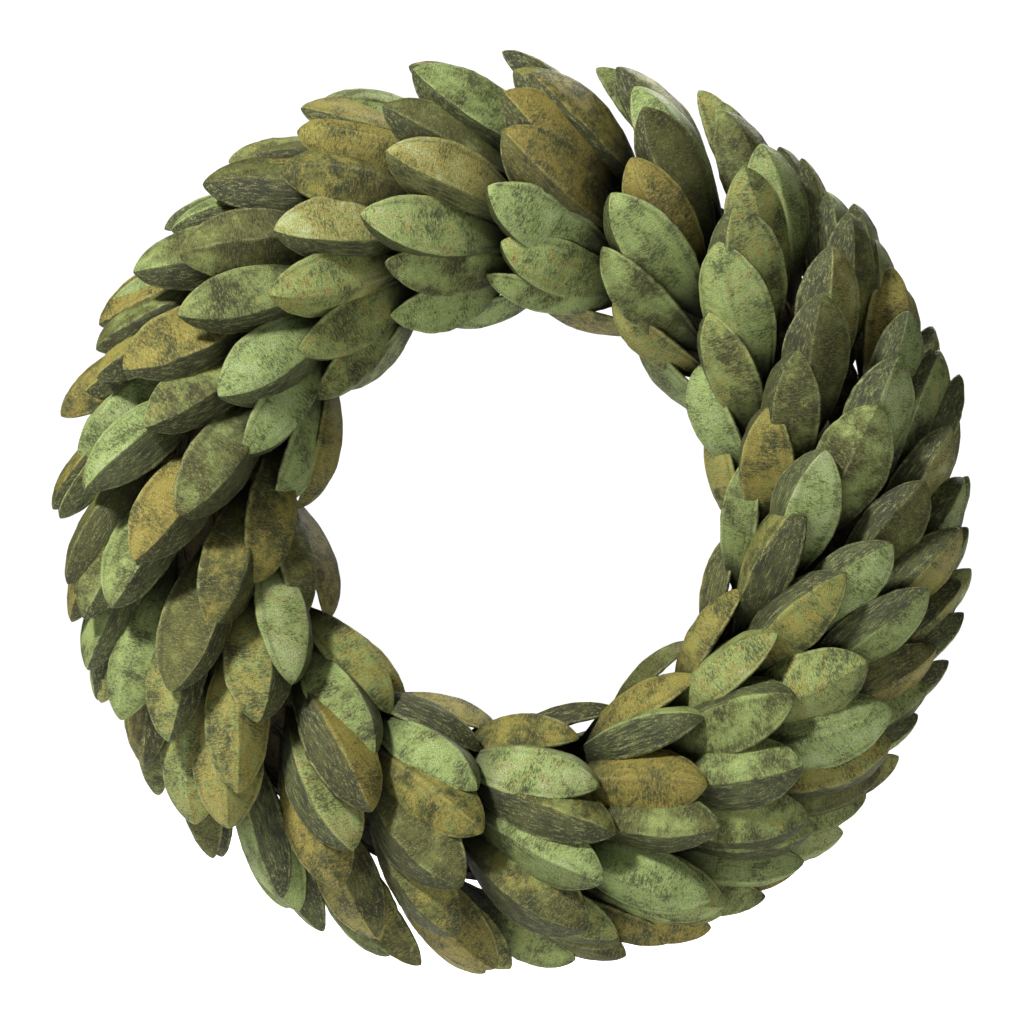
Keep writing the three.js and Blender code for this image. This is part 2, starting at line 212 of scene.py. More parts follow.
def podFinish():
    # Dyed and gilded dry pods: a rough face, a smoother darker wall (its own paint with painted shade), pale
    # rims that are worn paint with a painted highlight, and painted shade in the hollows, along the outline
    # and towards the tail.
    finish, bench, shader = newFinish("dyed_pod")
    own = bench.node("ShaderNodeAttribute", {"attribute_name": "grain"}, out="Vector")  # millimetres
    tone, gilt, rim, wall, run = (bench.node("ShaderNodeAttribute", {"attribute_name": name}, out="Fac")
                                  for name in ("tone", "gilt", "rim", "wall", "run"))
    away = abs(rim)
    across = bench.vectorMath("MULTIPLY", own, (0.38, 1.0, 0.38))
    length = bench.vectorMath("MULTIPLY", own, (1.0, 0.12, 1.0))
    broad = bench.noise(own, podPaint["broadScale"], 3, 0.6)
    patches = bench.noise(own, podPaint["patchScale"], 5, 0.66, 0.6)
    speckle = bench.noise(own, podPaint["speckleScale"], 4, 0.74)
    wrinkle = bench.noise(across, podPaint["wrinkleScale"], 6, 0.74, 0.5)
    fibre = bench.noise(length, podPaint["fibreScale"], 4, 0.6)
    pits = bench.node("ShaderNodeTexVoronoi", {"feature": "F1"}, {
        "Vector": own, "Scale": podPaint["pitScale"], "Randomness": 1.0}, out="Distance")
    pitted = bench.ranged(pits, 0.30, 0.13) * bench.ranged(patches, 0.43, 0.58)
    relief = wrinkle * (1 - wall) + fibre * wall
    toned = tone + (broad - 0.5) * 1.6 + (patches - 0.5) * 0.9
    base = bench.mixed(bench.ranged(toned, 0.12, 0.85), podPaint["olive"], podPaint["mint"])
    gilded = bench.ranged(gilt + (patches - 0.5) * 2.2 + (broad - 0.5), 0.45, 0.95)
    gilded = gilded * (podPaint["giltShare"] - wall * podPaint["giltLostOnWall"])
    base = bench.mixed(gilded, base, podPaint["gold"])
    silvered = bench.ranged(toned + (speckle - 0.5) * 1.2, 0.85, 1.35)
    base = bench.mixed(silvered * podPaint["silverShare"], base, podPaint["silver"])
    # darker wall and belly: partly the wall's own darker paint, partly painted shade on the steep side and
    # under the pod
    base = bench.mixed(wall * podPaint["wallPaintAndShadeShare"], base, podPaint["wall"])
    # painted shade: near-black in the low creases of the wrinkle and fibre relief
    creaseShade = bench.ranged(relief + (broad - 0.5) * 0.5, 0.52, 0.36)
    base = bench.mixed(creaseShade * podPaint["creaseShadeShare"], base, podPaint["deep"])
    # painted shade: near-black specks in the small hollows of the speckle relief
    speckleShade = bench.ranged(speckle, 0.52, 0.38)
    base = bench.mixed(speckleShade * podPaint["speckleShadeShare"], base, podPaint["deep"])
    worn = bench.ranged(relief + (speckle - 0.5) * 0.9, 0.54, 0.70)
    base = bench.mixed(worn * podPaint["wornShare"], base, podPaint["rim"])
    # painted shade: near-black in the pits, which the bump also sinks
    base = bench.mixed(pitted * podPaint["pitShadeShare"], base, podPaint["deep"])
    # painted highlight: a pale line along the ridge crest; the pale lip at the edges is worn paint with a
    # painted highlight
    broken = bench.ranged(patches + (speckle - 0.5) * 0.9, 0.42, 0.62)
    ridgeHighlight = bench.ranged(away, 0.045, 0.012) * broken
    lip = bench.ranged(away, 0.93, 0.985) * broken
    # painted shade: a dark band just inside the outline
    outline = bench.ranged(away, 0.80, 0.88) * bench.ranged(away, 0.95, 0.88) * (1 - broken * 0.5)
    paleEdgeAndHighlight = bench.clamped(ridgeHighlight * podPaint["ridgeHighlightShare"] + lip * podPaint["lipWearAndHighlightShare"])
    base = bench.mixed(paleEdgeAndHighlight, base, podPaint["rim"])
    # painted shade: a dark groove beside the ridge, and the tail half darkened where the next pod covers it
    groove = bench.ranged(away, 0.22, 0.12) * bench.ranged(away, 0.05, 0.12) * bench.ranged(broad, 0.44, 0.56)
    tailward = bench.ranged(run, 0.50, 0.14)
    shaded = bench.clamped(outline * podPaint["outlineShadeShare"] + groove * podPaint["grooveShadeShare"]
                           + tailward * podPaint["tailShadeShare"])
    base = bench.mixed(shaded, base, podPaint["deep"])
    bench.plugIn(shader, "Base Color", base)
    sheen = bench.ranged(patches * 0.5 + speckle * 0.5, 0.35, 0.65, podPaint["rough"], podPaint["satin"])
    bench.plugIn(shader, "Roughness", sheen)
    bench.plugIn(shader, "Metallic", podPaint["metallic"] * bench.ranged(relief, 0.35, 0.55))
    height = relief * 0.7 + speckle * 0.35 + patches * 0.5 - pitted * 0.4
    bump = bench.node("ShaderNodeBump", None, {
        "Strength": podPaint["bump"], "Distance": podPaint["bumpDepth"], "Height": height})
    bench.plugIn(shader, "Normal", bump)
    return finish


strawPaint = {  # scales are in cycles a metre, bumpDepth in metres
    "shade": (0.022, 0.018, 0.008), "dry": (0.085, 0.068, 0.028), "bright": (0.17, 0.135, 0.058),
    "clumpScale": 60, "fineScale": 900, "bump": 0.9, "bumpDepth": 0.002,
}


def strawFinish():
    finish, bench, shader = newFinish("pressed_straw")
    place = bench.node("ShaderNodeTexCoord", None, None, out="Object")
    clumps = bench.noise(place, strawPaint["clumpScale"], 4, 0.6)
    fine = bench.noise(place, strawPaint["fineScale"], 4, 0.7)
    base = bench.mixed(bench.ranged(clumps, 0.35, 0.65), strawPaint["shade"], strawPaint["dry"])
    base = bench.mixed(bench.ranged(fine, 0.45, 0.75) * 0.7, base, strawPaint["bright"])
    bench.plugIn(shader, "Base Color", base)
    bench.plugIn(shader, "Roughness", bench.ranged(fine, 0.3, 0.7, 0.95, 0.7))
    bump = bench.node("ShaderNodeBump", None, {
        "Strength": strawPaint["bump"], "Distance": strawPaint["bumpDepth"], "Height": clumps + fine * 0.6})
    bench.plugIn(shader, "Normal", bump)
    return finish


def metalFinish(name, clean, stain, roughness, metallic, pitScale):
    finish, bench, shader = newFinish(name)
    place = bench.node("ShaderNodeTexCoord", None, None, out="Object")
    cloud = bench.noise(place, pitScale * 0.12, 5, 0.65)
    grit = bench.noise(place, pitScale, 3, 0.7)
    stained = bench.ranged(cloud + grit * 0.3, 0.60, 0.80)
    bench.plugIn(shader, "Base Color", bench.mixed(stained, clean, stain))
    bench.plugIn(shader, "Roughness", bench.clamped(roughness + stained * 0.35 + (grit - 0.5) * 0.25))
    bench.plugIn(shader, "Metallic", metallic * (1 - stained * 0.85))
    bump = bench.node("ShaderNodeBump", None, {"Strength": 0.5, "Distance": 0.0003, "Height": grit + cloud})
    bench.plugIn(shader, "Normal", bump)
    return finish


podPainted = podFinish()
strawPressed = strawFinish()
wirePaint = {  # clean and stained colours, roughness, metal share and the scale of the pits
    "green_lacquered_wire": ((0.025, 0.085, 0.035), (0.13, 0.07, 0.035), 0.38, 0.35, 900),
    "green_tie_wire": ((0.05, 0.07, 0.04), (0.14, 0.065, 0.03), 0.45, 0.35, 1200),
    "zinc_plated_wire": ((0.56, 0.57, 0.58), (0.30, 0.29, 0.27), 0.32, 0.95, 1000),
}
frameLacquer, tieLacquer, loopZinc = (metalFinish(name, *paint) for name, paint in wirePaint.items())
print("finishes made")


# The straw ring's D section, and how far the wreath's middle hangs below the nail.
ring = {"radius": 184, "halfWidth": 43, "side": 20, "crown": 42, "hang": 212.25}
# Rows of pods from the hole to the rim. Place is round the section, 0 at the outer rim and 90 at
# the front; sweep is towards the rim, lift off the straw and roll back from facing straight out,
# all in degrees. Start is in pod spacings, seat is how far the pods stand off the straw.
rowTraits = ("band", "place", "count", "sweep", "lift", "length", "start", "seat", "roll")
podRows = [dict(zip(rowTraits, row)) for row in (
    ("hole", 177, 12, 9, 24, 90, 0.8, -5, 0),
    ("hole", 157, 13, 12, 24, 95, 0.3, -4, 0),
    ("hole", 135, 15, 15, 23, 101, 0.8, -1, 0),
    ("front", 114, 17, 18, 22, 105, 0.3, 1, 0),
    ("front", 93, 19, 20, 21, 106, 0.75, 3, 0),
    ("front", 72, 21, 20, 21, 106, 0.2, 4, 0),
    ("front", 52, 24, 17, 21, 105, 0.65, 3, -6),
    ("rim", 34, 26, 12, 22, 105, 0.15, 2, -16),
    ("rim", 17, 28, 2, 24, 103, 0.6, 1, -27),
    ("rim", 3, 29, -8, 26, 100, 0.1, 2, -34),
)]
stray = {"along": 0.06, "place": 2, "sweep": 4.5, "lift": 2, "roll": 10, "length": 0.07, "width": 0.1,
         "ridge": 0.22, "curl": 2.2}
pod = {"width": 42, "ridge": 14, "belly": -3.0, "bow": 3.5, "tail": 10, "lip": 0.5, "lean": 0.3,
       "leanSpread": 0.34, "tailPower": 1.15, "tipPower": 0.72, "widest": 0.2876, "dent": 0.6, "wobble": 1.2,
       "ringsAlong": 40, "crestPower": 0.85, "ridgeSoft": 0.04, "swell": 0.30, "leastSwell": 0.06,
       "wander": 2.4, "wanderScale": 0.07, "dents": 2.6, "dentScale": 0.11, "creases": 1.1,
       "creaseScale": 0.22}
bunchCount = 12  # bunches round each band


def scatter(number, trait):  # even, from -1 to 1, the same every run
    mixed = (number * 61 + trait * 7 + 1) * 2654435761 % 2**32
    mixed = (mixed ^ (mixed >> 15)) * 2246822519 % 2**32
    mixed ^= mixed >> 13
    return mixed / 2**32 * 2 - 1


def aroundRing(turn, radius, y):
    return Vector((radius * math.cos(turn), y, radius * math.sin(turn)))


def leanSense(turn):  # ridges lean to the hole, but to the rim at the bottom of the wreath
    return max(-0.8, min(1.0, 1.2 + 2 * math.sin(turn)))


def podAt(row, index, number):
    turn = (index + row["start"] + stray["along"] * scatter(number, 0)) / row["count"] * turnRound
    place, sweep, lift, roll = (math.radians(row[name] + stray[name] * scatter(number, trait))
                                for name, trait in (("place", 1), ("sweep", 2), ("lift", 3), ("roll", 4)))
    along = Vector((-math.sin(turn), 0, math.cos(turn)))
    out = aroundRing(turn, ring["crown"] * math.cos(place), -ring["halfWidth"] * math.sin(place)).normalized()
    rimward = along.cross(out)
    axis = (along * math.cos(sweep) + rimward * math.sin(sweep)) * math.cos(lift) + out * math.sin(lift)
    up = (out - axis * math.sin(lift)).normalized()
    up = up * math.cos(roll) + axis.cross(up) * math.sin(roll)
    seatRadius = ring["radius"] + (ring["halfWidth"] + row["seat"]) * math.cos(place)
    seatY = -ring["side"] - (ring["crown"] + row["seat"]) * math.sin(place)
    return {
        "turn": turn, "seat": aroundRing(turn, seatRadius, seatY), "axis": axis, "side": up.cross(axis),
        "length": row["length"] * (1 + stray["length"] * scatter(number, 5)),
        "width": pod["width"] * (1 + stray["width"] * scatter(number, 6)),
        "ridge": pod["ridge"] * (1 + stray["ridge"] * scatter(number, 9)),
        "lean": pod["lean"] * leanSense(turn) + pod["leanSpread"] * scatter(number, 7),
        "dome": 0.5 + 0.5 * scatter(number, 10), "curl": stray["curl"] * scatter(number, 11),
        "tone": 0.5 + 0.5 * scatter(number, 12), "gilt": 0.5 + 0.5 * scatter(number, 13),
        "number": float(number),
    }


def basePod():
    # A closed tube of rings: "run" goes from tail to tip, "rim" from edge to edge with the ridge
    # at 0, and "under" is 1 on the belly.
    top = [-1, -0.975, -0.90, -0.76, -0.58, -0.38, -0.20, -0.08, -0.025]
    top = [*top, 0, *(-value for value in reversed(top))]
    section = [(value, 0) for value in top] + [(value, 1) for value in (1, 0.6, 0.2, -0.2, -0.6, -1)]
    rings = pod["ringsAlong"]
    mesh = bpy.data.meshes.new("base_pod")
    points, runs, rims, unders = [], [], [], []
    for step in range(rings + 1):
        run = 0.5 - 0.5 * math.cos(math.pi * (0.02 + 0.96 * step / rings))
        for rim, under in section:
            points.append((rim * 10, run * 100, -under))
            runs.append(run)
            rims.append(rim)
            unders.append(under)
    size = len(section)
    faces = [(first * size + one, first * size + (one + 1) % size, (first + 1) * size + (one + 1) % size,
              (first + 1) * size + one) for first in range(rings) for one in range(size)]
    for run, first in ((0.0, 0), (1.0, rings * size)):  # the tail and the tip close to one point each
        points.append((0, run * 100, 0))
        runs.append(run)
        rims.append(0)
        unders.append(0.5)
        for one in range(size):
            pair = (first + one, first + (one + 1) % size)
            faces.append((*(pair if run else reversed(pair)), len(points) - 1))
    mesh.from_pydata(points, [], faces)
    for name, values in (("run", runs), ("rim", rims), ("under", unders)):
        mesh.attributes.new(name, "FLOAT", "POINT").data.foreach_set("value", values)
    mesh.materials.append(podPainted)
    mesh.shade_smooth()
    return bpy.data.objects.new("base_pod", mesh)


def podTree():
    tree = Geometry("pod_bunch", {"Pod": "NodeSocketObject", "Ridge lip": "NodeSocketFloat",
                                  "Dent depth": "NodeSocketFloat", "Outline wobble": "NodeSocketFloat",
                                  "Belly": "NodeSocketFloat", "Bow": "NodeSocketFloat",
                                  "Tail": "NodeSocketFloat", "Finish": "NodeSocketMaterial"})
    shape = tree.node("GeometryNodeObjectInfo", None, {"Object": tree.given("Pod")}, out="Geometry")
    placed = tree.node("GeometryNodeInstanceOnPoints", None, {
        "Points": tree.given("Geometry"), "Instance": shape})
    real = tree.node("GeometryNodeRealizeInstances", None, {"Geometry": placed})
    run, rim, under = (tree.attribute(name) for name in ("run", "rim", "under"))
    length, width, ridge, lean, dome, curl, number = (
        tree.attribute(name) for name in ("length", "width", "ridge", "lean", "dome", "curl", "number"))
    seat, axis, side = (tree.attribute(name, "FLOAT_VECTOR") for name in ("seat", "axis", "side"))
    up = tree.vectorMath("CROSS_PRODUCT", axis, side)
    away = abs(rim)
    full = run ** pod["tailPower"] * (1 - run) ** pod["tipPower"] / pod["widest"]  # 1 at the widest
    half = width * 0.5 * full
    across = (lean + rim - away * lean) * half
    ridgeRound = tree.math("SQRT", rim * rim + pod["ridgeSoft"] ** 2) - pod["ridgeSoft"]
    crest = ridge * full ** pod["crestPower"] * (1 - ridgeRound)
    swell = (dome * pod["swell"] + pod["leastSwell"]) * half * away * (1 - away)
    top = crest + swell + tree.given("Ridge lip") * full ** 0.5
    belly = tree.given("Belly") * full * (rim * rim - 1) - tree.given("Ridge lip") * full ** 0.5
    arch = 4 * run * (1 - run)
    rise = top * (1 - under) + belly * under + tree.given("Bow") * arch
    across = across + curl * arch
    forward = run * length - tree.given("Tail")
    local = tree.node("ShaderNodeCombineXYZ", None, {"X": across, "Y": forward, "Z": rise})
    shift = tree.node("ShaderNodeCombineXYZ", None, {"X": number * 71, "Y": number * 37, "Z": number * 13})
    grain = tree.vectorMath("ADD", local, shift)
    wander = tree.noise(grain, pod["wanderScale"], 2, 0.5) - 0.5
    across = across + wander * tree.given("Outline wobble") * full * pod["wander"]
    offAxis = tree.vectorMath("ADD", tree.scaled(side, across), tree.scaled(up, rise))
    reach = tree.vectorMath("ADD", tree.scaled(axis, forward), offAxis)
    spot = tree.vectorMath("ADD", seat, reach)
    shaped = tree.node("GeometryNodeSetPosition", None, {"Geometry": real, "Position": spot})
    wallSide = tree.clamped(rim * tree.math("SIGN", lean) * 14 - 0.3)
    wall = wallSide * tree.ranged(abs(lean), 0.02, 0.2)
    shaped = tree.stored(shaped, "grain", grain, "FLOAT_VECTOR")
    shaped = tree.stored(shaped, "wall", tree.clamped(wall + under))
    dents = tree.noise(grain, pod["dentScale"], 3, 0.6, 0.4) - 0.5
    crosswise = tree.vectorMath("MULTIPLY", grain, (0.5, 1.4, 0.5))
    creases = tree.noise(crosswise, pod["creaseScale"], 2, 0.6) - 0.5
    depth = (dents * pod["dents"] + creases * pod["creases"]) * tree.given("Dent depth") * full ** 0.5
    normal = tree.node("GeometryNodeInputNormal")
    dented = tree.node("GeometryNodeSetPosition", None, {"Geometry": shaped,
                       "Offset": tree.scaled(normal, depth)})
    metres = tree.node("GeometryNodeTransform", None, {"Geometry": dented, "Scale": (mm, mm, mm),
                       "Translation": (0, 0, -ring["hang"] * mm)})
    tree.finish(metres, tree.given("Finish"))
    return tree


def allPods():
    bunches, number = {}, 0
    for row in podRows:
        for index in range(row["count"]):
            one = podAt(row, index, number)
            part = math.floor((one["turn"] / turnRound) % 1 * bunchCount) + 1
            bunches.setdefault(f"{row['band']}_pods_{part}", []).append(one)
            number += 1
    return bunches


def podPoints(name, members):  # one vertex for each pod, carrying its sizes and directions
    piece = newPiece(name)
    piece.data.from_pydata([one["seat"] for one in members], [], [])
    for trait in ("length", "width", "ridge", "lean", "dome", "curl", "tone", "gilt", "number"):
        layer = piece.data.attributes.new(trait, "FLOAT", "POINT")
        layer.data.foreach_set("value", [one[trait] for one in members])
    for trait in ("seat", "axis", "side"):
        layer = piece.data.attributes.new(trait, "FLOAT_VECTOR", "POINT")
        layer.data.foreach_set("vector", [value for one in members for value in one[trait]])
    return piece


spentTraits = ("seat", "axis", "side", "length", "width", "ridge", "lean", "dome", "curl", "number", "under")


def makePods():
    base = basePod()
    tree = podTree()
    values = {"Pod": base, "Ridge lip": pod["lip"], "Dent depth": pod["dent"],
              "Outline wobble": pod["wobble"], "Belly": float(pod["belly"]),
              "Bow": float(pod["bow"]), "Tail": float(pod["tail"]), "Finish": podPainted}
    for node, members in allPods().items():
        piece = runTree(podPoints(f"{node}_carved", members), tree, values)
        for trait in spentTraits:
            piece.data.attributes.remove(piece.data.attributes[trait])
        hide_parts(node)
        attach(piece, "wreath")
    bpy.data.objects.remove(base)


makePods()
print("pods made")


straw = {"around": 300, "across": 44, "lumps": 1.1, "fineLumps": 0.5, "strands": 2800, "strandLength": 30,
         "strandWidth": 1.5, "lift": 0.35, "pocketHalf": 24, "pocketRadii": (167, 225),
         "pocketDepth": 11.5, "grooveHalf": 2.4, "grooveDepth": 7.4, "grooveSteps": (-2.5, -1.2, 0, 1.2, 2.5),
         "braceGrooveHalf": 2.6, "braceGrooveDepth": 4.2, "braceGrooveEnd": 5, "backShare": 0.36,
         "flankShare": 0.13, "backLumps": 0.35, "looseAhead": 26, "lengths": (0.45, 1.25),
         "sway": 0.22, "blade": 0.034, "bladeWide": 30, "bladeThick": 22}
wireFrame = {"radii": {"inner": 148, "inner_middle": 172, "outer_middle": 196, "outer": 220}, "wire": 1.6,
             "ringY": -5.6, "braceY": -2.0, "braces": 6, "overhang": 3, "weld": 2.3, "cutEnd": 1.75,
             "weldFlat": 0.75, "waver": 0.25, "steps": 160, "braceSteps": 12, "sides": 12}


def sectionSpot(share, standOff=0.0):
    # A point of the straw's D outline as radius and y: its first part is the flat back from the
    # hole to the rim, the rest comes back over the front.
    wide, deep = ring["halfWidth"] + standOff, ring["crown"] + standOff
    back = straw["backShare"]
    if share < back:
        return ring["radius"] - wide + 2 * wide * share / back, standOff
    bend = (share - back) / (1 - back)
    flank = straw["flankShare"]  # the straight sides at either end of the rounded front
    if bend < flank:
        return ring["radius"] + wide, standOff - (ring["side"] + standOff) * bend / flank
    if bend > 1 - flank:
        return ring["radius"] - wide, -ring["side"] + (ring["side"] + standOff) * (bend - 1 + flank) / flank
    place = math.pi * (bend - flank) / (1 - 2 * flank)
    return ring["radius"] + wide * math.cos(place), -ring["side"] - deep * math.sin(place)


def hungSpot(turn, radius, y):
    return (aroundRing(turn, radius, y) - Vector((0, 0, ring["hang"]))) * mm


def grooveShape(aside, half, depth):  # a round-bottomed groove's depth beside its middle line
    return depth * max(0.0, 1 - aside / half) ** 0.4


def strawDepth(turn, radius):  # how far a point of the back is pressed in by wires and the pocket
    spot = aroundRing(turn, radius, 0)
    depth = 0.0
    for wire in wireFrame["radii"].values():
        depth = max(depth, grooveShape(abs(radius - wire), straw["grooveHalf"], straw["grooveDepth"]))
    near, far = straw["pocketRadii"]
    if abs(spot.x) < straw["pocketHalf"] and near < spot.z < far:
        depth = max(depth, straw["pocketDepth"])
    step = turnRound / wireFrame["braces"]
    aside = abs((turn + step / 2) % step - step / 2) * radius
    end = straw["braceGrooveEnd"]
    if wireFrame["radii"]["inner"] - end < radius < wireFrame["radii"]["outer"] + end:
        depth = max(depth, grooveShape(aside, straw["braceGrooveHalf"], straw["braceGrooveDepth"]))
    return depth


def strawMesh():
    rows, columns = straw["around"], straw["across"]
    evenly = (ring["radius"] - ring["halfWidth"] + 2 * ring["halfWidth"] * one / 15 for one in range(16))
    grooves = (wire + step for wire in wireFrame["radii"].values() for step in straw["grooveSteps"])
    radii = sorted({*evenly, *grooves})
    outline = [(radius, 0.0) for radius in radii]
    back = straw["backShare"]
    outline += [sectionSpot(back + (1 - back) * (one + 1) / (columns + 1)) for one in range(columns)]
    points, faces, looseness = [], [], []
    for row in range(rows):
        turn = row / rows * turnRound
        for radius, y in outline:
            middle = Vector((radius - ring["radius"], y + ring["side"]))
            spot = aroundRing(turn, radius, y)
            lump = noise.noise(spot * 0.06) * straw["lumps"]
            lump += noise.noise(spot * 0.35) * straw["fineLumps"] - 0.8
            if y < 0:
                away = middle.normalized() * lump
                radius, y = radius + away.x, y + away.y
                looseness.append(1.0 if y < -straw["looseAhead"] else 0.0)  # none near the back's edges
            else:
                y = min(0.0, lump * straw["backLumps"] - strawDepth(turn, radius))
                looseness.append(0.0)  # the back is pressed flat
            points.append(hungSpot(turn, radius, y))
    size = len(outline)
    for row in range(rows):
        for one in range(size):
            here, there = row * size, (row + 1) % rows * size
            after = (one + 1) % size
            faces.append((here + one, here + after, there + after, there + one))
    mesh = bpy.data.meshes.new("straw_core")
    mesh.from_pydata(points, [], faces)
    mesh.attributes.new("loose", "FLOAT", "POINT").data.foreach_set("value", looseness)
    mesh.materials.append(strawPressed)
    return faceOut(mesh)


def faceOut(mesh):
    shell = bmesh.new()
    shell.from_mesh(mesh)
    bmesh.ops.recalc_face_normals(shell, faces=shell.faces)
    shell.to_mesh(mesh)
    shell.free()
    mesh.shade_smooth()
    return mesh


def strandTree():
    tree = Geometry("straw_strands", {"Strands": "NodeSocketInt", "Length": "NodeSocketFloat",
                                      "Width": "NodeSocketFloat", "Lift": "NodeSocketFloat",
                                      "Seed": "NodeSocketInt", "Finish": "NodeSocketMaterial"})
    spread = tree.tree.nodes.new("GeometryNodeDistributePointsOnFaces")
    spread.distribute_method = "RANDOM"
    faceArea = tree.node("GeometryNodeInputMeshFaceArea")
    area = tree.node("GeometryNodeAttributeStatistic", {"data_type": "FLOAT", "domain": "FACE"}, {
        "Geometry": tree.given("Geometry"), "Attribute": faceArea}, out="Sum")
    tree.plugIn(spread, "Mesh", tree.given("Geometry"))
    tree.plugIn(spread, "Density", tree.given("Strands") / area * tree.attribute("loose"))
    tree.plugIn(spread, "Seed", tree.given("Seed"))
    points, normal = (Plug(tree, spread.outputs[name]) for name in ("Points", "Normal"))
    place = tree.node("GeometryNodeInputPosition")
    fromMiddle = tree.vectorMath("ADD", place, (0, 0, ring["hang"] * mm))
    along = tree.vectorMath("CROSS_PRODUCT", fromMiddle, (0, 1, 0))
    length, sway = (tree.node("FunctionNodeRandomValue", {"data_type": "FLOAT"}, {
        "Min": low, "Max": high, "Seed": seed}, out="Value") for low, high, seed in (
            (*straw["lengths"], 7), (-straw["sway"], straw["sway"], 3)))
    axes = tree.node("FunctionNodeAxesToRotation", {"primary_axis": "Z", "secondary_axis": "X"},
                     {"Primary Axis": normal, "Secondary Axis": along})
    aside = tree.node("FunctionNodeEulerToRotation", None, {
        "Euler": tree.node("ShaderNodeCombineXYZ", None, {"Z": sway})})
    turned = tree.node("FunctionNodeRotateRotation", {"rotation_space": "LOCAL"}, {
        "Rotation": axes, "Rotate By": aside})
    blade = tree.node("GeometryNodeCurveArc", {"mode": "POINTS"}, {
        "Resolution": 6, "Start": (-0.5, 0, -0.008), "Middle": (0, 0.01, 0.006),
        "End": (0.5, -0.01, -0.008)}, out="Curve")
    circle = tree.node("GeometryNodeCurvePrimitiveCircle", {"mode": "RADIUS"}, {
        "Resolution": 4, "Radius": 0.5}, out="Curve")
    thin = tree.node("GeometryNodeTransform", None, {"Geometry": circle, "Scale": (straw["blade"],) * 3})
    straws = tree.node("GeometryNodeCurveToMesh", None, {
        "Curve": blade, "Profile Curve": thin, "Fill Caps": True})
    size = tree.node("ShaderNodeCombineXYZ", None, {
        "X": length * tree.given("Length") * mm, "Y": tree.given("Width") * straw["bladeWide"] * mm,
        "Z": tree.given("Width") * straw["bladeThick"] * mm})
    lifted = tree.node("GeometryNodeSetPosition", None, {"Geometry": points, "Offset": tree.scaled(
        normal, tree.given("Lift") * mm)})
    placed = tree.node("GeometryNodeInstanceOnPoints", None, {"Points": lifted, "Instance": straws,
                       "Rotation": turned, "Scale": size})
    joined = tree.tree.nodes.new("GeometryNodeJoinGeometry")
    for geometry in (tree.given("Geometry"), placed):
        tree.tree.links.new(geometry.socket, joined.inputs[0])
    tree.finish(Plug(tree, joined.outputs[0]), tree.given("Finish"))
    return tree


def makeStraw():
    piece = newPiece("straw_body", strawMesh())
    runTree(piece, strandTree(), {"Strands": straw["strands"], "Length": float(straw["strandLength"]),
                                  "Width": straw["strandWidth"], "Lift": straw["lift"], "Seed": 11,
                                  "Finish": strawPressed})
    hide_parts("straw_ring")
    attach(piece, "wreath")


def tubeTree():
    tree = Geometry("round_wire", {"Radius": "NodeSocketFloat", "Sides": "NodeSocketInt",
                                   "Finish": "NodeSocketMaterial"})
    curve = tree.node("GeometryNodeMeshToCurve", None, {"Mesh": tree.given("Geometry")})
    profile = tree.node("GeometryNodeCurvePrimitiveCircle", {"mode": "RADIUS"}, {
        "Resolution": tree.given("Sides"), "Radius": tree.given("Radius")}, out="Curve")
    body = tree.node("GeometryNodeCurveToMesh", None, {
        "Curve": curve, "Profile Curve": profile, "Fill Caps": True})
    smooth = tree.node("GeometryNodeSetShadeSmooth", None, {"Geometry": body})
    tree.finish(smooth, tree.given("Finish"))
    return tree


wireTree = tubeTree()


def wirePiece(name, paths, radius, finish, sides):  # paths of points in metres, each open or closed
    points, edges = [], []
    for path, closed in paths:
        first = len(points)
        points += path
        edges += [(first + one, first + one + 1) for one in range(len(path) - 1)]
        if closed:
            edges.append((len(points) - 1, first))
    piece = newPiece(name)
    piece.data.from_pydata(points, edges, [])
    return runTree(piece, wireTree, {"Radius": radius * mm, "Sides": sides, "Finish": finish})


def addBeads(piece, beads):  # round beads of weld and lacquer: place in metres, radius and flatness
    shell = bmesh.new()
    shell.from_mesh(piece.data)
    for number, (spot, radius, flat) in enumerate(beads):
        made = bmesh.ops.create_icosphere(shell, subdivisions=2, radius=radius * mm)
        for corner in made["verts"]:
            wobble = 1 + 0.22 * noise.noise(corner.co * 900 + Vector((number * 3.7, 0, 0)))
            x, y, z = corner.co * wobble
            corner.co = Vector((x, y * flat, z)) + spot
    shell.to_mesh(piece.data)
    shell.free()
    piece.data.shade_smooth()


def braceTurns():
    return [one * turnRound / wireFrame["braces"] for one in range(wireFrame["braces"])]


def makeFrame():
    steps = wireFrame["steps"]
    for name, radius in wireFrame["radii"].items():
        path = []
        for one in range(steps):
            waver = wireFrame["waver"] * noise.noise(Vector((one * 0.11, radius, 0)))
            path.append(hungSpot(one / steps * turnRound, radius, wireFrame["ringY"] + waver))
        piece = wirePiece(f"{name}_ring_wire", [(path, True)], wireFrame["wire"], frameLacquer,
                          wireFrame["sides"])
        weldY = (wireFrame["ringY"] + wireFrame["braceY"]) / 2 - 0.2
        addBeads(piece, [(hungSpot(turn, radius, weldY), wireFrame["weld"], wireFrame["weldFlat"])
                         for turn in braceTurns()])
        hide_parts(f"frame_ring_{name}")
        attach(piece, "wreath")
    near = wireFrame["radii"]["inner"] - wireFrame["overhang"]
    far = wireFrame["radii"]["outer"] + wireFrame["overhang"]
    for number, turn in enumerate(braceTurns()):
        path = [hungSpot(turn, near + (far - near) * one / wireFrame["braceSteps"], wireFrame["braceY"])
                for one in range(wireFrame["braceSteps"] + 1)]
        piece = wirePiece(f"brace_wire_{number + 1}", [(path, False)], wireFrame["wire"], frameLacquer,
                          wireFrame["sides"])
        addBeads(piece, [(end, wireFrame["cutEnd"], 1.0) for end in (path[0], path[-1])])
        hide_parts(f"cross_brace_{number + 1}")
        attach(piece, "wreath")


